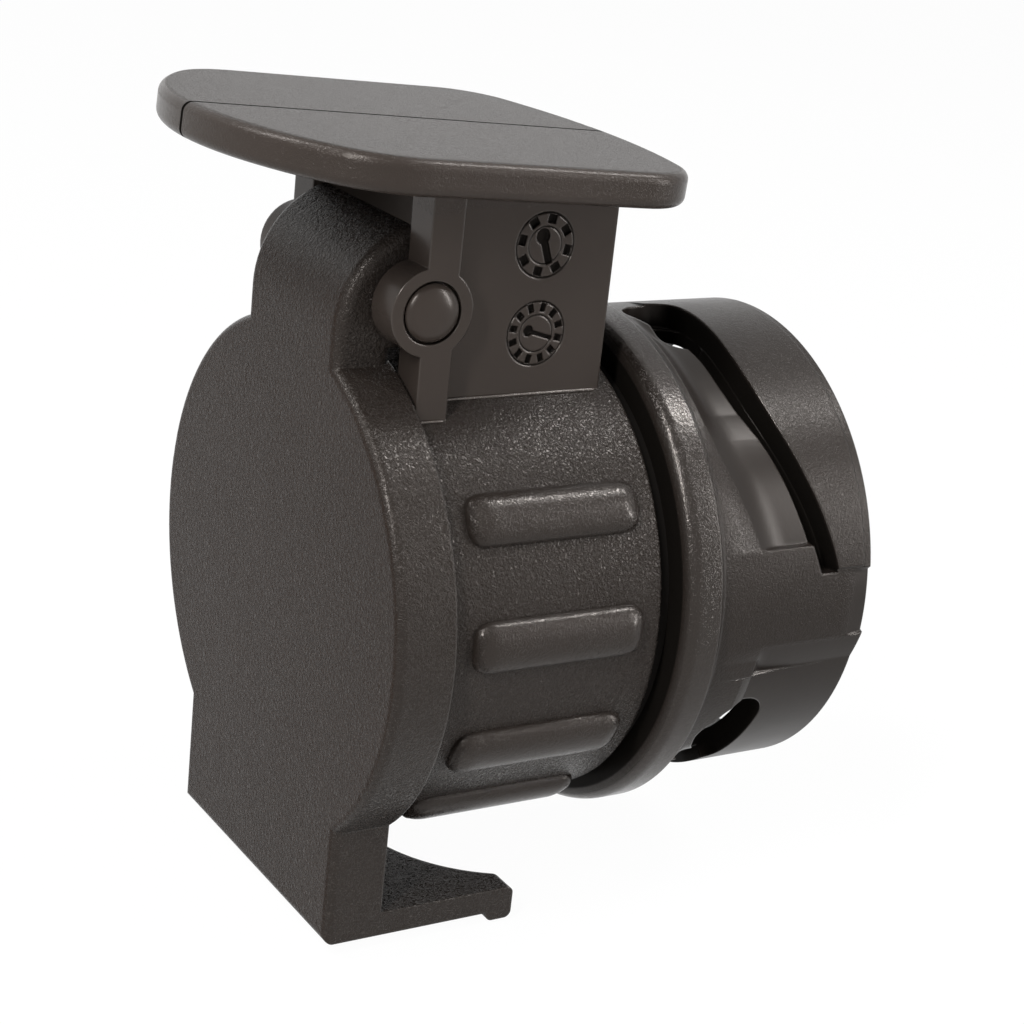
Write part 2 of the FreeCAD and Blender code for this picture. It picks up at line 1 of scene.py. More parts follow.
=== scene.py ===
import bmesh
import bpy
import math
import numpy as np
from mathutils import Matrix, Vector


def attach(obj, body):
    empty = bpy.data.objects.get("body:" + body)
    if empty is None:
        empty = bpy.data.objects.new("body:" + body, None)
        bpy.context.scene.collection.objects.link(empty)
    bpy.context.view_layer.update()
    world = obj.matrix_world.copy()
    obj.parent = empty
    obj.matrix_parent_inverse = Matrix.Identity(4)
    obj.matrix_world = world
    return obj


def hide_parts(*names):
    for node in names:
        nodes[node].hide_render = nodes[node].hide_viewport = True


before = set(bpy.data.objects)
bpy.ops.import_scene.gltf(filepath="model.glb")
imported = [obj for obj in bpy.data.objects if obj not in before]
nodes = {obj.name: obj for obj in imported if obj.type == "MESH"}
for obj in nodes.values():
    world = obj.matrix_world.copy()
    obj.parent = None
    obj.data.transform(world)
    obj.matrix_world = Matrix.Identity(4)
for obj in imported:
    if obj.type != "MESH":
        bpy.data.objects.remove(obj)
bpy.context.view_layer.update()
print("frame loaded:", len(nodes), "nodes")

# Camera of the photograph. Its angles are in degrees, counted from straight in front of the near
# side. The target is the model's point that it looks at, in metres; lens and sensor are in mm.
view = {
    "azimuth": 32.985, "elevation": 19.304, "roll": 6.262, "distance": 0.22537,
    "target": (-0.007673, 0.0, 0.004177), "lens": 80.716, "sensor": 36, "nearest": 0.01}


def placeCamera(view):
    azimuth, elevation = math.radians(view["azimuth"]), math.radians(view["elevation"])
    back = Vector((-math.sin(azimuth) * math.cos(elevation),
                   -math.cos(azimuth) * math.cos(elevation), math.sin(elevation)))
    right = (-back).cross(Vector((0, 0, 1))).normalized()
    up = right.cross(-back)
    c, s = math.cos(math.radians(view["roll"])), math.sin(math.radians(view["roll"]))
    across, along = right * c + up * s, up * c - right * s
    data = bpy.data.cameras.new("photoCamera")
    data.lens = view["lens"]
    data.sensor_width = view["sensor"]
    data.clip_start = view["nearest"]
    camera = bpy.data.objects.new("photoCamera", data)
    place = Matrix((across, along, back)).transposed().to_4x4()
    place.translation = Vector(view["target"]) + back * view["distance"]
    camera.matrix_world = place
    bpy.context.scene.collection.objects.link(camera)
    bpy.context.scene.camera = camera


placeCamera(view)
print("camera placed")

# Pale floor, and a world that camera, glossy and transmission rays meet as white
studio = {
    "floorHeight": -0.0316, "floorSize": 8.0, "floorColor": (0.86, 0.86, 0.86, 1),
    "floorWhite": 0.97, "worldGray": 0.10, "worldWhite": 1.0, "white": (1, 1, 1, 1)}


def whiteRays(tree):
    # one for camera, glossy and transmission rays, so that they all meet the white background
    path = tree.nodes.new("ShaderNodeLightPath")
    first = tree.nodes.new("ShaderNodeMath")
    first.operation = "MAXIMUM"
    second = tree.nodes.new("ShaderNodeMath")
    second.operation = "MAXIMUM"
    tree.links.new(path.outputs["Is Camera Ray"], first.inputs[0])
    tree.links.new(path.outputs["Is Glossy Ray"], first.inputs[1])
    tree.links.new(first.outputs[0], second.inputs[0])
    tree.links.new(path.outputs["Is Transmission Ray"], second.inputs[1])
    return second.outputs[0]


def makeFloor(studio):
    size, z = studio["floorSize"] / 2, studio["floorHeight"]
    corners = [(-size, -size, z), (size, -size, z), (size, size, z), (-size, size, z)]
    mesh = bpy.data.meshes.new("floor")
    mesh.from_pydata(corners, [], [(0, 1, 2, 3)])
    floor = bpy.data.objects.new("floor", mesh)
    bpy.context.scene.collection.objects.link(floor)
    material = bpy.data.materials.new("paleFloor")
    material.use_nodes = True
    tree = material.node_tree
    tree.nodes.clear()
    out = tree.nodes.new("ShaderNodeOutputMaterial")
    mix = tree.nodes.new("ShaderNodeMixShader")
    matt = tree.nodes.new("ShaderNodeBsdfDiffuse")
    matt.inputs["Color"].default_value = studio["floorColor"]
    glow = tree.nodes.new("ShaderNodeEmission")
    glow.inputs["Color"].default_value = studio["white"]
    share = tree.nodes.new("ShaderNodeMath")
    share.operation = "MULTIPLY"
    share.inputs[1].default_value = studio["floorWhite"]
    tree.links.new(whiteRays(tree), share.inputs[0])
    tree.links.new(share.outputs[0], mix.inputs["Fac"])
    tree.links.new(matt.outputs[0], mix.inputs[1])
    tree.links.new(glow.outputs[0], mix.inputs[2])
    tree.links.new(mix.outputs[0], out.inputs["Surface"])
    mesh.materials.append(material)


def makeWorld(studio):
    world = bpy.data.worlds.new("studioWorld")
    bpy.context.scene.world = world
    world.use_nodes = True
    tree = world.node_tree
    tree.nodes.clear()
    out = tree.nodes.new("ShaderNodeOutputWorld")
    room = tree.nodes.new("ShaderNodeBackground")
    room.inputs["Color"].default_value = studio["white"]
    level = tree.nodes.new("ShaderNodeMapRange")
    level.inputs["To Min"].default_value = studio["worldGray"]
    level.inputs["To Max"].default_value = studio["worldWhite"]
    tree.links.new(whiteRays(tree), level.inputs["Value"])
    tree.links.new(level.outputs[0], room.inputs["Strength"])
    tree.links.new(room.outputs[0], out.inputs["Surface"])


# Each lamp: place, the point it looks at, size of its panel, and watts. The key lamp stands
# where the upper near side of the barrel mirrors it to the camera.
lamps = {
    "keyPanel": {"place": (0.32, -0.12, 0.50), "look": (0, 0, 0),
                 "size": (0.07, 0.20), "power": 1.9},
    "leftPanel": {"place": (-0.38, -0.24, 0.38), "look": (-0.01, 0, 0),
                  "size": (0.045, 0.42), "power": 4.0},
    "rightPanel": {"place": (0.42, -0.36, 0.16), "look": (0, 0, 0),
                   "size": (0.05, 0.34), "power": 2.0},
    "topPanel": {"place": (-0.33, 0.14, 0.42), "look": (0, 0, 0),
                 "size": (0.05, 0.25), "power": 1.6},
    "sheenPanel": {"place": (0.33, 0.50, 0.24), "look": (0, 0, 0.04),
                   "size": (0.30, 0.20), "power": 0.08}}


def makeLamps(lamps):
    for name, lamp in lamps.items():
        data = bpy.data.lights.new(name, "AREA")
        data.shape = "RECTANGLE"
        data.size, data.size_y = lamp["size"]
        data.energy = lamp["power"]
        panel = bpy.data.objects.new(name, data)
        away = Vector(lamp["place"]) - Vector(lamp["look"])
        turn = away.to_track_quat("Z", "Y").to_matrix().to_4x4()
        panel.matrix_world = Matrix.Translation(lamp["place"]) @ turn
        bpy.context.scene.collection.objects.link(panel)


makeFloor(studio)
makeWorld(studio)
makeLamps(lamps)
bpy.context.scene.view_settings.view_transform = "Standard"
print("studio lit")

edgeSamples = 8  # rays that soften one point of an edge


class Recipe:
    # a material under construction, with short ways to add and join its nodes
    def __init__(self, name):
        self.material = bpy.data.materials.new(name)
        self.material.use_nodes = True
        self.tree = self.material.node_tree
        self.tree.nodes.clear()
        out = self.add("ShaderNodeOutputMaterial")
        self.shader = self.add("ShaderNodeBsdfPrincipled")
        self.join(self.shader.outputs[0], out.inputs["Surface"])
        self.coordinates = self.add("ShaderNodeTexCoord")
        self.place = self.coordinates.outputs["Object"]

    def add(self, kind, **settings):
        node = self.tree.nodes.new(kind)
        for key, value in settings.items():
            setattr(node, key, value)
        return node

    def join(self, source, target):
        self.tree.links.new(source, target)

    def put(self, node, socket, value):
        if isinstance(value, bpy.types.NodeSocket):
            self.join(value, node.inputs[socket])
        else:
            node.inputs[socket].default_value = value

    def math(self, operation, a, b=0.0, clamp=False):
        node = self.add("ShaderNodeMath", operation=operation, use_clamp=clamp)
        self.put(node, 0, a)
        self.put(node, 1, b)
        return node.outputs[0]

    def times(self, a, b, clamp=False):
        return self.math("MULTIPLY", a, b, clamp)

    def remainder(self, value):
        # what is left of one
        return self.math("SUBTRACT", 1.0, value)

    def step(self, value, low, high):
        # rises smoothly from nought at low to one at high
        node = self.add("ShaderNodeMapRange", interpolation_type="SMOOTHSTEP")
        self.put(node, "Value", value)
        node.inputs["From Min"].default_value = low
        node.inputs["From Max"].default_value = high
        return node.outputs[0]

    def scaled(self, value, low, high):
        # stretches nought to one over low to high
        node = self.add("ShaderNodeMapRange")
        self.put(node, "Value", value)
        node.inputs["To Min"].default_value = low
        node.inputs["To Max"].default_value = high
        return node.outputs[0]

    def blend(self, share, a, b):
        node = self.add("ShaderNodeMix", data_type="FLOAT")
        self.put(node, 0, share)
        self.put(node, 2, a)
        self.put(node, 3, b)
        return node.outputs[0]

    def tint(self, share, a, b):
        node = self.add("ShaderNodeMix", data_type="RGBA")
        self.put(node, 0, share)
        self.put(node, 6, a)
        self.put(node, 7, b)
        return node.outputs[2]

    def noise(self, scale, detail=2.0, roughness=0.5, distortion=0.0, place=None):
        node = self.add("ShaderNodeTexNoise")
        self.join(place or self.place, node.inputs["Vector"])
        node.inputs["Scale"].default_value = scale
        node.inputs["Detail"].default_value = detail
        node.inputs["Roughness"].default_value = roughness
        node.inputs["Distortion"].default_value = distortion
        return node.outputs[0]

    def cells(self, scale, smooth, place):
        node = self.add("ShaderNodeTexVoronoi", feature="SMOOTH_F1")
        self.join(place, node.inputs["Vector"])
        node.inputs["Scale"].default_value = scale
        node.inputs["Smoothness"].default_value = smooth
        return node.outputs["Distance"]

    def split(self, vector):
        node = self.add("ShaderNodeSeparateXYZ")
        self.join(vector, node.inputs[0])
        return node.outputs[0], node.outputs[1], node.outputs[2]

    def axes(self):
        return self.split(self.place)

    def facing(self):
        return self.split(self.coordinates.outputs["Normal"])

    def reach(self):
        # distance from the cylinder's axis
        y, z = self.axes()[1:]
        return self.math("SQRT", self.math("ADD", self.times(y, y), self.times(z, z)))

    def bump(self, height, depth, edge):
        # relief on a normal that is softened round the piece's edges
        node = self.add("ShaderNodeBump")
        self.join(height, node.inputs["Height"])
        node.inputs["Distance"].default_value = depth
        softened = self.add("ShaderNodeBevel")
        softened.samples = edgeSamples
        softened.inputs["Radius"].default_value = edge
        self.soft = softened.outputs[0]
        self.join(self.soft, node.inputs["Normal"])
        self.join(node.outputs[0], self.shader.inputs["Normal"])

    def edges(self, gain):
        # one where the softened normal of the bump leans away from the face's own
        flat = self.add("ShaderNodeNewGeometry")
        lean = self.add("ShaderNodeVectorMath", operation="DOT_PRODUCT")
        self.join(self.soft, lean.inputs[0])
        self.join(flat.outputs["Normal"], lean.inputs[1])
        return self.times(self.remainder(lean.outputs["Value"]), gain, True)


# Shell plastic: near-black with a warm cast. Depths are in metres, scales in one over metres.
shell = {
    "dark": (0.0110, 0.0084, 0.0070, 1), "light": (0.0185, 0.0146, 0.0124, 1),
    "satin": 0.24, "grained": 0.22, "foldRough": 0.10, "gloss": 0.20,
    "glossTint": (1.0, 0.92, 0.86, 1), "haze": 35.0, "patchScale": 260.0, "patchRough": 0.04,
    "foldScale": 3900.0, "foldWidth": 0.09, "pebbleScale": 3000.0, "pebbleSmooth": 0.35,
    "fineShare": 0.8, "foldShare": 0.5, "pebbleShare": 0.5, "grainDepth": 0.000075,
    "wander": 0.0003, "wanderScale": 0.4, "wanderShares": (1.0, -1.0, 0.6),
    "calmScale": 2600.0, "calmDepth": 0.07,
    "edge": 0.0003, "edgeGain": 3.2, "edgeRough": 0.17, "edgeGloss": 0.62}


def leatherRelief(r, size):
    # fine winding folds between small pebbles; size stretches both
    wander = r.noise(shell["foldScale"] * shell["wanderScale"] / size, 1.0)
    spread = r.add("ShaderNodeCombineXYZ")
    for i, share in enumerate(shell["wanderShares"]):
        r.put(spread, i, r.times(wander, share * shell["wander"] * size))
    bent = r.add("ShaderNodeVectorMath", operation="ADD")
    r.join(r.place, bent.inputs[0])
    r.join(spread.outputs[0], bent.inputs[1])
    place = bent.outputs[0]
    fine = r.noise(shell["foldScale"] / size, 1.5, 0.5, 0.5, place)
    offMiddle = r.math("ABSOLUTE", r.math("SUBTRACT", fine, 0.5))
    folds = r.remainder(r.step(offMiddle, 0.0, shell["foldWidth"]))
    pebbles = r.cells(shell["pebbleScale"] / size, shell["pebbleSmooth"], place)
    relief = r.math("SUBTRACT", r.times(fine, shell["fineShare"]),
                    r.times(folds, shell["foldShare"]))
    return r.math("SUBTRACT", relief, r.times(pebbles, shell["pebbleShare"])), folds


def shellPlastic(name, grainMask, size=1.0, line=None, front=None, polish=None, **own):
    # grainMask builds the socket that is one on grained faces and nought on satin ones. The
    # others build shares too: line paints shade in the near-black line colour, front takes the
    # lid's own colour, and polish comes with its gloss and roughness.
    look = {"depth": 1.0, "lift": 1.0, "satin": shell["satin"], "gloss": shell["gloss"], **own}
    r = Recipe(name)
    mask = grainMask(r)
    leather, folds = leatherRelief(r, size)
    calm = r.times(r.noise(shell["calmScale"]), shell["calmDepth"])
    depth = shell["grainDepth"] * size * look["depth"]
    r.bump(r.blend(mask, calm, leather), depth, shell["edge"])
    cloud = r.noise(shell["haze"], 3.0, 0.6)
    tones = shell["dark"], shell["light"]
    liftedTones = [tuple(c * look["lift"] for c in tone[:3]) + (1,) for tone in tones]
    color = r.tint(mask, r.tint(cloud, *liftedTones), r.tint(cloud, *tones))
    gloss = look["gloss"]
    patchy = r.scaled(r.noise(shell["patchScale"], 3.0), -shell["patchRough"], shell["patchRough"])
    grained = r.scaled(folds, shell["grained"], shell["grained"] + shell["foldRough"])
    rough = r.math("ADD", patchy, r.blend(mask, look["satin"], grained))
    if front:
        ahead = front(r)
        color = r.tint(ahead, color, r.tint(cloud, lidFront["dark"], lidFront["light"]))
        gloss = r.blend(ahead, gloss, lidFront["gloss"])
    if polish:
        share, polishGloss, polishRough = polish(r)
        gloss = r.blend(share, gloss, polishGloss)
        rough = r.blend(share, rough, polishRough)
    onEdge = r.edges(shell["edgeGain"])
    gloss = r.blend(onEdge, gloss, shell["edgeGloss"])
    rough = r.blend(onEdge, rough, shell["edgeRough"])
    # painted shade: the line's share turns the colour near-black and takes the gloss away
    if line:
        paintedShadeShare = line(r)
        color = r.tint(paintedShadeShare, color, seamShade["dark"])
        gloss = r.times(r.remainder(paintedShadeShare), gloss)
    r.join(color, r.shader.inputs["Base Color"])
    r.join(rough, r.shader.inputs["Roughness"])
    r.put(r.shader, "Specular IOR Level", gloss)
    r.shader.inputs["Specular Tint"].default_value = shell["glossTint"]
    return r.material


# Housing: the barrel's outermost reach, the webs' sides and foot, and the plate. A pair is where
# a share begins and where it is whole: metres for places, the normal's part for a lean.
housingFaces = {
    "barrel": (0.02425, 0.02435), "webLean": (0.975, 0.99), "webFoot": (0.0172, 0.0180),
    "plate": (0.0372, 0.0376), "plateLean": (0.9, 0.98), "plateSides": 0.2,
    "plateGloss": 0.20, "plateRough": 0.34}
# Painted shade: a near-black line on the plate's parting line, whose colour also serves the other
# painted shade
seamShade = {
    "halfWidth": 0.00030, "core": 0.6, "lowest": 0.0372, "soft": 0.0002,
    "dark": (0.004, 0.0035, 0.003, 1)}
# Painted shade in the dials' pockets in the webs, between their floor and the web's face
dialPockets = {
    "deepest": 0.0104, "face": 0.01114, "low": 0.0215, "high": 0.0375, "foremost": -0.0241,
    "soft": 0.0002, "floorSoft": 0.0001, "shade": 0.85}


def onPlate(r):
    return r.step(r.axes()[2], *housingFaces["plate"])


def facingUp(r):
    return r.step(r.facing()[2], *housingFaces["plateLean"])


def housingGrain(r):
    # barrel and ribs, the plate's upper face, and faintly the plate's sides
    barrel = r.remainder(r.step(r.reach(), *housingFaces["barrel"]))
    sideways = r.step(r.math("ABSOLUTE", r.facing()[1]), *housingFaces["webLean"])
    webSide = r.times(sideways, r.step(r.axes()[2], *housingFaces["webFoot"]))
    barrel = r.times(barrel, r.remainder(webSide))
    plate = r.times(onPlate(r), r.scaled(facingUp(r), housingFaces["plateSides"], 1.0))
    return r.math("MAXIMUM", barrel, plate)


def plateHaze(r):
    # the plate's broad upper face is duller than the rest
    return r.times(onPlate(r), facingUp(r)), housingFaces["plateGloss"], housingFaces["plateRough"]


def plateSeamShade(r):
    # painted shade in the mould's parting line along the plate's middle and down its ends
    y, z = r.axes()[1:]
    wide = seamShade["halfWidth"]
    near = r.remainder(r.step(r.math("ABSOLUTE", y), wide * seamShade["core"], wide))
    return r.times(near, r.step(z, seamShade["lowest"], seamShade["lowest"] + seamShade["soft"]))


def housingPaintedShade(r):
    # painted shade along the parting line and in the dials' pockets
    x, y, z = r.axes()
    side = r.math("ABSOLUTE", y)
    d = dialPockets
    soft = d["soft"]
    sunk = r.times(r.step(side, d["deepest"] - d["floorSoft"], d["deepest"]),
                   r.remainder(r.step(side, d["face"] - soft, d["face"])))
    band = r.times(r.step(z, d["low"], d["low"] + soft),
                   r.remainder(r.step(z, d["high"] - soft, d["high"])))
    webOnly = r.step(x, d["foremost"], d["foremost"] + soft)
    pockets = r.times(r.times(r.times(sunk, band), webOnly), d["shade"])
    return r.math("MAXIMUM", plateSeamShade(r), pockets)


# Sleeve's painted shade: the slots' floor, their upper edge and where their walls end, in metres
# from the axis; how far a face may look back and still be skin, behind the collar's face and ahead
# of it
slotShade = {
    "floor": 0.0218, "edge": 0.0232, "wall": 0.0239, "wallEnd": 0.0005, "collarFace": (-0.001, 0.0),
    "behindLean": (-0.995, -0.97), "aheadLean": (-0.9, -0.5), "shade": 0.88}
sleeveFinish = {
    "grainFrom": (0.0238, 0.0240), "grain": 0.26, "collarFrom": (0.0246, 0.0249),
    "collarGloss": 0.34, "collarRough": 0.17}


def slotPaintedShade(r):
    # painted shade on the deep slots, their walls and the groove behind the collar, darker and
    # duller than the skin
    s = slotShade
    reach = r.reach()
    within = r.remainder(r.step(reach, s["floor"], s["edge"]))
    x, nx = r.axes()[0], r.facing()[0]
    ahead = r.step(x, *s["collarFace"])
    facingBack = r.blend(ahead, r.step(nx, *s["behindLean"]), r.step(nx, *s["aheadLean"]))
    walls = r.times(r.remainder(facingBack),
                    r.remainder(r.step(reach, s["wall"], s["wall"] + s["wallEnd"])))
    return r.times(r.math("MAXIMUM", within, walls), s["shade"])


def sleeveGrain(r):
    # faint on collar, base band and lands; slots, scoops and the lowered half are smooth
    return r.times(r.step(r.reach(), *sleeveFinish["grainFrom"]), sleeveFinish["grain"])


def collarShine(r):
    # the collar is smoother than the sleeve
    share = r.step(r.reach(), *sleeveFinish["collarFrom"])
    return share, sleeveFinish["collarGloss"], sleeveFinish["collarRough"]


# Lid: its flat front is redder and duller, and skirt and hood are a little calmer
lidFront = {
    "dark": (0.0120, 0.0077, 0.0056, 1), "light": (0.0180, 0.0119, 0.0090, 1), "gloss": 0.09,
    "lean": (-0.97, -0.80), "besideGrain": 0.6}


def besideFront(r):
    # nought on the flat front, one on skirt and hood
    return r.step(r.facing()[0], *lidFront["lean"])


def lidAhead(r):
    return r.remainder(besideFront(r))


def lidGrain(r):
    return r.scaled(besideFront(r), 1.0, lidFront["besideGrain"])


ribFinish = {"scale": 90.0, "least": 0.15, "most": 0.4}


def ribGrain(r):
    # the ribs and beads are nearly smooth, in patches
    return r.scaled(r.noise(ribFinish["scale"], 1.0), ribFinish["least"], ribFinish["most"])


def noGrain(r):
    return r.times(r.reach(), 0.0)


def dress(names, material):
    for name in names:
        mesh = nodes[name].data
        for i in range(max(1, len(mesh.materials))):
            if i < len(mesh.materials):
                mesh.materials[i] = material
            else:
                mesh.materials.append(material)


satinLift = 1.85  # smooth faces of housing and pin are this much lighter than grained ones
dress(["housing"], shellPlastic("housingPlastic", housingGrain, line=housingPaintedShade,
                                polish=plateHaze, lift=satinLift))
dress(["lid"], shellPlastic("lidPlastic", lidGrain, 1.2, front=lidAhead, depth=1.15, gloss=0.22))
dress(["bayonet_sleeve"], shellPlastic("sleevePlastic", sleeveGrain, line=slotPaintedShade,
                                       polish=collarShine, satin=0.32, gloss=0.17, lift=0.8))
dress(["hinge_pin"], shellPlastic("blackPin", noGrain, lift=satinLift))
shellPlastic("ribPlastic", ribGrain, satin=0.17, gloss=0.26)
# the beads' colour is lifted 2.2 times as a painted highlight along the feet
shellPlastic("beadPlasticPaintedHighlight", ribGrain, satin=0.20, gloss=0.8, lift=2.2)

# Finishes of seals, insulators and metal: two tones, a roughness, and what differs from plain
plain = {"metal": 0.0, "scale": 400.0, "depth": 0.00002, "stretch": (1, 1, 1), "gloss": 0.5,
         "smoother": 0.06, "rougher": 0.08, "edge": 0.0001, "finer": 4}
brassNodes = [n for n in nodes if n.startswith(("contact_sleeve_", "plug_pin_"))]
brassNodes.append("centre_contact")
finishes = {
    "rubber": {
        "nodes": ["joint_seal", "lid_gasket"], "roughness": 0.85, "depth": 0.00004, "gloss": 0.1,
        "base": (0.0075, 0.0062, 0.0052, 1), "dark": (0.0045, 0.0037, 0.0031, 1)},
    "insulator": {
        "nodes": ["contact_carrier", "plug_insert"], "roughness": 0.42,
        "base": (0.05, 0.05, 0.054, 1), "dark": (0.036, 0.036, 0.04, 1)},
    "ringPlastic": {
        "nodes": ["insert_ring"], "roughness": 0.4,
        "base": (0.17, 0.17, 0.175, 1), "dark": (0.14, 0.14, 0.145, 1)},
    "turnedBrass": {
        "nodes": brassNodes, "roughness": 0.24, "metal": 1.0, "scale": 900.0, "depth": 0.00001,
        "stretch": (6, 1, 1), "base": (0.78, 0.60, 0.28, 1), "dark": (0.66, 0.49, 0.21, 1)},
    "springSteel": {
        "nodes": ["lid_spring"], "roughness": 0.28, "metal": 1.0, "scale": 800.0,
        "base": (0.58, 0.58, 0.60, 1), "dark": (0.44, 0.44, 0.46, 1)},
    "zincSteel": {
        "nodes": ["carrier_screws"], "roughness": 0.3, "metal": 1.0, "scale": 800.0,
        "base": (0.66, 0.66, 0.66, 1), "dark": (0.5, 0.5, 0.52, 1)},
    "wireJacket": {
        "nodes": ["jumper_wires"], "roughness": 0.45,
        "base": (0.10, 0.10, 0.11, 1), "dark": (0.07, 0.07, 0.075, 1)}}


def plainFinish(name, look):
    # cloudy colour, patchy roughness and a faint relief
    r = Recipe(name)
    mapping = r.add("ShaderNodeMapping")
    r.join(r.place, mapping.inputs["Vector"])
    mapping.inputs["Scale"].default_value = look["stretch"]
    place = mapping.outputs[0]
    cloud = r.noise(look["scale"], 3.0, 0.6, 0.0, place)
    rough = look["roughness"]
    r.join(r.tint(cloud, look["dark"], look["base"]), r.shader.inputs["Base Color"])
    r.join(r.scaled(cloud, rough - look["smoother"], rough + look["rougher"]),
           r.shader.inputs["Roughness"])
    r.shader.inputs["Metallic"].default_value = look["metal"]
    r.shader.inputs["Specular IOR Level"].default_value = look["gloss"]
    relief = r.noise(look["scale"] * look["finer"], 2.0, 0.5, 0.0, place)
    r.bump(relief, look["depth"], look["edge"])
    return r.material


for name, finish in finishes.items():
    dress(finish["nodes"], plainFinish(name, {**plain, **finish}))
print("materials assigned")


def gridMesh(name, points, around, along):
    # points[i, j] in metres; a closed ring in i where around is true, and in j where along is true
    rows, columns = points.shape[:2]
    i, j = np.meshgrid(np.arange(rows if around else rows - 1),
                       np.arange(columns if along else columns - 1), indexing="ij")
    i, j = i.ravel(), j.ravel()
    here, ahead = i * columns, ((i + 1) % rows) * columns
    following = (j + 1) % columns
    faces = np.stack([here + j, ahead + j, ahead + following, here + following], axis=1)
    mesh = bpy.data.meshes.new(name)
    mesh.vertices.add(rows * columns)
    mesh.vertices.foreach_set("co", points.reshape(-1).astype(np.float32))
    mesh.loops.add(faces.size)
    mesh.loops.foreach_set("vertex_index", faces.ravel().astype(np.int32))
    mesh.polygons.add(len(faces))
    mesh.polygons.foreach_set("loop_start", (np.arange(len(faces)) * 4).astype(np.int32))
    mesh.update(calc_edges=True)
    mesh.validate()
    piece = bpy.data.objects.new(name, mesh)
    bpy.context.scene.collection.objects.link(piece)
    return piece


def weld(piece):
    # joins the repeated points at a closed pole and turns every face outward
    work = bmesh.new()
    work.from_mesh(piece.data)
    bmesh.ops.remove_doubles(work, verts=work.verts, dist=1e-7)
    bmesh.ops.recalc_face_normals(work, faces=work.faces)
    work.to_mesh(piece.data)
    work.free()


def carve(piece, cutters):
    for cutter in cutters:
        cut = piece.modifiers.new("cut", "BOOLEAN")
        cut.operation = "DIFFERENCE"
        cut.solver = "EXACT"
        cut.object = cutter
    graph = bpy.context.evaluated_depsgraph_get()
    finished = bpy.data.meshes.new_from_object(piece.evaluated_get(graph))
    piece.modifiers.clear()
    piece.data = finished
    for cutter in cutters:
        bpy.data.objects.remove(cutter)


def smoothShade(piece, degrees):
    mesh = piece.data
    mesh.polygons.foreach_set("use_smooth", [True] * len(mesh.polygons))
    mesh.set_sharp_from_angle(angle=math.radians(degrees))


def roundedPiece(name, points, sharpFrom, material):
    # a welded grid closed along its columns, smooth up to the given angle between its faces
    piece = gridMesh(name, points, False, True)
    weld(piece)
    smoothShade(piece, sharpFrom)
    piece.data.materials.append(bpy.data.materials[material])
    return piece


def domeSpread(rings):
    # shares from the middle to the rim, closer together where the dome falls steeply
    return np.sin(np.linspace(0, 90, rings) * math.pi / 180)


# Thin beads of flash along the feet of webs and strips on the barrel, lighter in colour as a
# painted
# highlight: a round bead of the given radius drawn out along X at the foot's place, in millimetres,
# on both sides
footBeads = {
    "web": {"x": (-24.1, -7.2), "y": 11.28, "z": 20.24, "radius": 0.16},
    "strip": {"x": (-27.2, -24.3), "y": 13.28, "z": 18.98, "radius": 0.16}}
beadGrid = {"around": 8, "along": 40, "taper": 0.4, "sharpFrom": 60}


def footBead(b, sign):
    # its radius shrinks to a point as the square root of the distance from each end over taper
    around = np.radians(np.arange(0, 360, 360 // beadGrid["around"]))
    along = np.linspace(b["x"][0], b["x"][1], beadGrid["along"])
    fromEnd = np.minimum(along - along[0], along[-1] - along)
    r = b["radius"] * np.sqrt(np.minimum(1, fromEnd / beadGrid["taper"]))[:, None]
    x = np.repeat(along[:, None], beadGrid["around"], 1)
    y, z = sign * b["y"] + r * np.cos(around), b["z"] + r * np.sin(around)
    return np.stack([x, y, z], axis=2) / 1000.0


for name, bead in footBeads.items():
    for side, sign in (("Near", -1), ("Far", 1)):
        piece = roundedPiece(name + "Bead" + side, footBead(bead, sign), beadGrid["sharpFrom"],
                             "beadPlasticPaintedHighlight")
        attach(piece, "adapter")
print("foot beads made")

# Domed grip ribs over the plain ones. A rib is rings round a spine along X, spaced by share from
# the spine to the foot; its height over the barrel is rise * sqrt(1 - share ** fullness).
ribDomes = {
    "first": 3.1, "pitch": 27.9, "count": 5, "x": (-25.15, -7.25), "half": 2.45, "barrel": 23.1,
    "rise": 1.36, "fullness": 2.05, "corner": 3.0, "sunk": 0.3, "rings": 16, "around": 96,
    "sharpFrom": 70}


def ribDome(d, middle):
    share = np.concatenate([domeSpread(d["rings"]), [1.0, 0.0]])[:, None]
    height = d["rise"] * np.sqrt(np.clip(1 - share ** d["fullness"], 0, 1))
    height[-2:] = -d["sunk"]
    turn = np.radians((np.arange(d["around"]) + 0.5) * 360.0 / d["around"])[None, :]
    across = np.sign(np.sin(turn)) * np.abs(np.sin(turn)) ** (2 / d["corner"])
    along = np.sign(np.cos(turn)) * np.abs(np.cos(turn)) ** (2 / d["corner"])
    core = (d["x"][1] - d["x"][0]) / 2 - d["half"]
    x = sum(d["x"]) / 2 + np.sign(np.cos(turn)) * core + share * d["half"] * along
    angle = math.radians(middle) + share * d["half"] * across / d["barrel"]
    r = d["barrel"] + height + 0 * x
    return np.stack([x, -r * np.cos(angle), r * np.sin(angle)], axis=2) / 1000.0


for i in range(ribDomes["count"]):
    middle = ribDomes["first"] + (1 - i) * ribDomes["pitch"]
    for side, turn in (("Near", middle), ("Far", 180 - middle)):
        piece = roundedPiece("ribDome" + str(i + 1) + side, ribDome(ribDomes, turn),
                             ribDomes["sharpFrom"], "ribPlastic")
        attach(piece, "adapter")
print("rib domes made")

# Domed caps over the pin's heads: a profile carried round the hinge's axis, whose height over the
# boss face is rise * sqrt(1 - (distance / radius) ** fullness) - sunk.
pinCaps = {
    "x": -26.5, "z": 28.8, "face": 13.2, "radius": 2.64, "rise": 0.97, "sunk": 0.25,
    "fullness": 2.6, "rings": 20, "around": 72, "sharpFrom": 60}


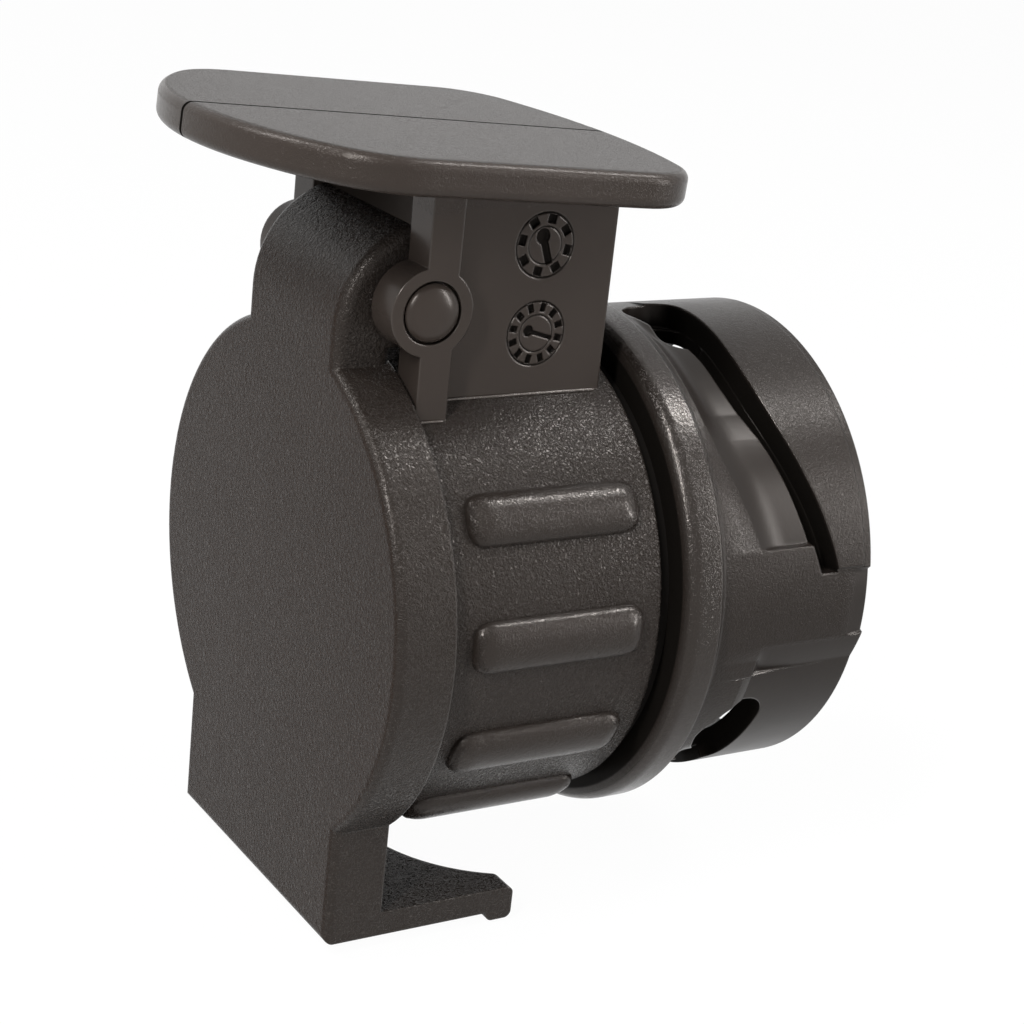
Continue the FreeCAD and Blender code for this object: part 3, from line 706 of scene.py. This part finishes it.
def pinCap(c, sign):
    out = np.concatenate([domeSpread(c["rings"]), [0.0]])[:, None] * c["radius"]
    dome = np.sqrt(np.clip(1 - (out / c["radius"]) ** c["fullness"], 0, 1))
    height = c["rise"] * dome - c["sunk"]
    height[-1] = -c["sunk"]
    turn = np.radians(np.arange(c["around"]) * (360.0 / c["around"]))[None, :]
    y = sign * (c["face"] + height) + 0 * turn
    return np.stack([c["x"] + out * np.cos(turn), y, c["z"] + out * np.sin(turn)], axis=2) / 1000.0


for side, sign in (("Near", -1), ("Far", 1)):
    piece = roundedPiece("pinCap" + side, pinCap(pinCaps, sign), pinCaps["sharpFrom"], "blackPin")
    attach(piece, "adapter")
print("pin caps made")

# The bayonet sleeve as a smooth skin. Angles are in degrees from the near side upwards, x and
# radius in millimetres. Each curve gives x along one start's edge at the angles under "turn",
# and the starts follow each other by the pitch.
bayonet = {
    "steps": 1080, "first": -13.0, "pitch": 120.0, "curveEnd": 0.5, "smoothPasses": 12,
    "reach": 18.7, "radius": 24.0, "bore": 20.6, "neckFront": -9.4, "neckRadius": 20.5,
    "discBack": -6.4, "wiring": 13.0, "ringSeat": (0.65, 2.1, 21.4), "rimChamfer": 0.3,
    "collarRadius": 25.3, "collarBack": -3.7, "collarEdge": 0.12, "shoulder": 1.5,
    "bandEdge": 1.15, "bandRise": 0.12, "ramp": 0.1, "wall": 0.06,
    "turn": (
        10.0, 18.0, 26.0, 33.0, 39.5, 46.0, 53.0, 60.0, 68.0,
        74.0, 78.0, 82.0, 85.0, 89.0, 92.0, 94.0, 95.0),
    "slotRight": (
        14.5, 13.5, 12.4, 11.35, 10.45, 9.6, 9.0, 8.75, 8.8,
        9.0, 9.1, 9.15, 9.15, 9.0, 8.5, 7.4, 6.4),
    "slotLeft": (
        12.6, 11.5, 10.5, 9.65, 8.75, 7.75, 6.9, 6.45, 6.3,
        5.9, 5.1, 3.8, 2.9, 2.5, 2.9, 4.0, 5.0),
    "scoopLeft": (
        6.0, 5.2, 4.1, 3.2, 2.35, 1.95, 1.8, 1.75, 1.85,
        1.95, 2.0, 2.05, 2.1, 2.15, 2.2, 2.2, 2.2),
    "slotRange": (11.0, 94.4), "slotFloor": 21.9,
    "scoopRange": (17.6, 86.0), "scoopBegins": (-0.3, 0.5), "scoopFades": 9.0,
    "scoopDepth": ((17.0, 0.75), (44.0, 0.85), (51.0, 1.15), (60.0, 1.1), (75.0, 0.9), (90.0, 0.5)),
    "scoopStops": (0.06, 0.14, 0.24, 0.36, 0.5, 0.64, 0.78, 0.9, 1.0),
    "scoopBottom": 0.5, "scoopCurve": 1.6,
    "landRange": (11.6, 104.0), "landFades": 14.0, "landRise": 0.35, "landRight": 17.35,
    "landStops": (0.25, 0.5, 0.75, 1.0),
    "pocketFrom": -12.5, "pocketSlope": 7.5, "pocketDepth": 0.7, "pocketStart": 6.2,
    "pocketStep": 0.3, "pocketSkin": 0.5,
    "gate": (-5.0, 10.5), "gateSide": 0.4, "gateLength": 2.7, "gateDrop": 0.39, "sharpFrom": 28}
lockingHoles = {
    "near": {"turn": 82.2, "halfTurn": 9.3, "x": 6.4, "halfLength": 2.7, "corner": 2.6},
    "far": {"turn": 202.6, "halfTurn": 17.0, "x": 6.1, "halfLength": 3.5, "corner": 3.2},
    "low": {"turn": -38.0, "halfTurn": 16.8, "x": 6.8, "halfLength": 3.0, "corner": 2.9}}
cutterShape = {"radius": 23.3, "cornerSteps": 12, "layers": (18.5, 20.0, 22.0, 24.0, 26.5)}


def easeIn(value, low, high):
    # rises smoothly from nought at low to one at high
    share = np.clip((value - low) / (high - low), 0, 1)
    return share * share * (3 - 2 * share)


def spiralEdge(b, local, key):
    # x of one spiral edge at every angle, smoothed by averages of neighbours between its ends
    curve = np.interp(local, b["turn"], b[key])
    between = (local > b["turn"][0] + b["curveEnd"]) & (local < b["turn"][-1] - b["curveEnd"])
    weights = np.array([0.25, 0.5, 0.25])
    for _ in range(b["smoothPasses"]):
        rolled = np.stack([np.roll(curve, 1), curve, np.roll(curve, -1)])
        curve = np.where(between, np.tensordot(weights, rolled, 1), curve)
    return curve


def skinStops(b, turns, local):
    # (x, radius) of the skin's stops from the collar to the rim, each for every angle
    def everywhere(value):
        return np.full(turns.shape, value)

    keys = "scoopLeft", "slotLeft", "slotRight"
    left, right, far = [spiralEdge(b, local, key) for key in keys]
    begin, end = b["scoopRange"]
    inScoop = easeIn(local, begin + b["scoopBegins"][0], begin + b["scoopBegins"][1]) \
        * (1 - easeIn(local, end - b["scoopFades"], end))
    angles, depths = zip(*b["scoopDepth"])
    depth = np.interp(local, angles, depths) * inScoop
    inSlot = ((local >= b["slotRange"][0]) & (local <= b["slotRange"][1])).astype(float)
    hasLand = (turns > b["first"]) | (turns < b["first"] - b["pitch"])
    begin, end = b["landRange"]
    inLand = ((local >= begin) & hasLand) * (1 - easeIn(local, end - b["landFades"], end))
    base = everywhere(b["radius"])
    floor = base - inSlot * (b["radius"] - b["slotFloor"])
    top = base + inLand * b["landRise"]

    stops = [(everywhere(0.0), base + b["bandRise"]),
             (everywhere(b["bandEdge"] - b["ramp"]), base + b["bandRise"]),
             (everywhere(b["bandEdge"]), base), (left, base)]
    for share in b["scoopStops"]:
        fall = 1 - (1 - min(share / b["scoopBottom"], 1)) ** b["scoopCurve"]
        stops.append((left + (right - left) * share, base - depth * fall))
    stops += [(right + b["wall"], np.minimum(floor, base - depth)), (far, floor),
              (far + b["wall"], top)]
    for share in b["landStops"]:
        stops.append((far + b["wall"] + (b["landRight"] - far - b["wall"]) * share, top))
    stops += [(everywhere(b["landRight"] + b["ramp"]), base),
              (everywhere(b["reach"] - b["rimChamfer"]), base),
              (everywhere(b["reach"]), base - b["rimChamfer"])]
    return stops


def loweredStops(b, turns, local, stops):
    # the lower half lies deeper past the band, with a slope at each end, and so do the gates
    down = np.where(turns < 90.0, b["pocketFrom"] - turns, turns - 180.0 - b["pocketFrom"])
    down = np.where(turns < -90.0, turns + 180.0 + b["pocketFrom"], down)
    pocket = np.clip((down + b["pocketSlope"]) / b["pocketSlope"], 0, 1) * b["pocketDepth"]
    begin, end = b["gate"]
    side = b["gateSide"]
    atGate = easeIn(local, begin - side, begin) * (1 - easeIn(local, end, end + side))
    highest, skinFrom = b["radius"] + b["landRise"], b["radius"] - b["pocketSkin"]
    found = []
    for x, r in stops:
        deeper = pocket * np.clip((x - b["pocketStart"]) / b["pocketStep"], 0, 1)
        inward = np.clip((x - b["reach"] + b["gateLength"]) / b["gateLength"], 0, 1)
        lead = atGate * inward * b["gateDrop"]
        found.append((x, np.minimum(r, highest) - np.maximum(deeper * (r > skinFrom), lead)))
    return found


def sleeveSkin(b):
    # a closed profile of (x, radius) carried round the axis; its x stops follow the spiral edges
    turns = np.arange(b["steps"]) * 360.0 / b["steps"] - 180.0
    local = (turns - b["first"]) % b["pitch"] + b["first"]
    skin = loweredStops(b, turns, local, skinStops(b, turns, local))
    seat0, seat1, seatRadius = b["ringSeat"]
    inside = [
        (b["reach"], b["bore"]), (seat1, b["bore"]), (seat1, seatRadius), (seat0, seatRadius),
        (seat0, b["bore"]), (b["discBack"], b["bore"]), (b["discBack"], b["wiring"]),
        (b["neckFront"], b["wiring"]), (b["neckFront"], b["neckRadius"]),
        (b["collarBack"], b["neckRadius"])]
    s, edge = b["shoulder"], b["collarEdge"]
    collar = [(b["collarBack"] + s - s * math.cos(math.radians(a)),
               b["collarRadius"] - s + s * math.sin(math.radians(a))) for a in range(0, 91, 10)]
    collar += [(-edge, b["collarRadius"]), (0.0, b["collarRadius"] - edge)]
    loop = skin + [(np.full(turns.shape, x), np.full(turns.shape, r)) for x, r in inside + collar]
    angle = np.radians(turns)
    rings = [np.stack([x, -r * np.cos(angle), r * np.sin(angle)], axis=1) for x, r in loop]
    return np.stack(rings, axis=1) / 1000.0


def holeCutter(name, hole):
    # a rounded rectangle in angle and x, drawn out along the radius from inside the bore to outside
    radius, count = cutterShape["radius"], cutterShape["cornerSteps"]
    halfWide = math.radians(hole["halfTurn"]) * radius
    corner = hole["corner"]
    outline = []
    for quarter, (sx, sy) in enumerate(((1, 1), (-1, 1), (-1, -1), (1, -1))):
        for k in range(count + 1):
            a = math.radians(90 * quarter + 90 * k / count)
            outline.append((sx * (hole["halfLength"] - corner) + corner * math.cos(a),
                            sy * (halfWide - corner) + corner * math.sin(a)))
    angles = [math.radians(hole["turn"]) + across / radius for _, across in outline]
    layers = []
    for r in cutterShape["layers"]:
        layers.append([(hole["x"] + along, -r * math.cos(a), r * math.sin(a))
                       for (along, _), a in zip(outline, angles)])
    poles = [[np.mean(layers[k], axis=0)] * len(outline) for k in (0, -1)]
    layers = [poles[0]] + layers + [poles[1]]
    piece = gridMesh(name, np.array(layers, dtype=float) / 1000.0, False, True)
    weld(piece)
    return piece


sleevePiece = gridMesh("sleeveSkin", sleeveSkin(bayonet), True, True)
weld(sleevePiece)
carve(sleevePiece, [holeCutter("hole_" + key, hole) for key, hole in lockingHoles.items()])
smoothShade(sleevePiece, bayonet["sharpFrom"])
sleevePiece.data.materials.clear()
sleevePiece.data.materials.append(bpy.data.materials["sleevePlastic"])
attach(sleevePiece, "adapter")
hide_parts("bayonet_sleeve")
print("sleeve made:", len(sleevePiece.data.polygons), "faces")
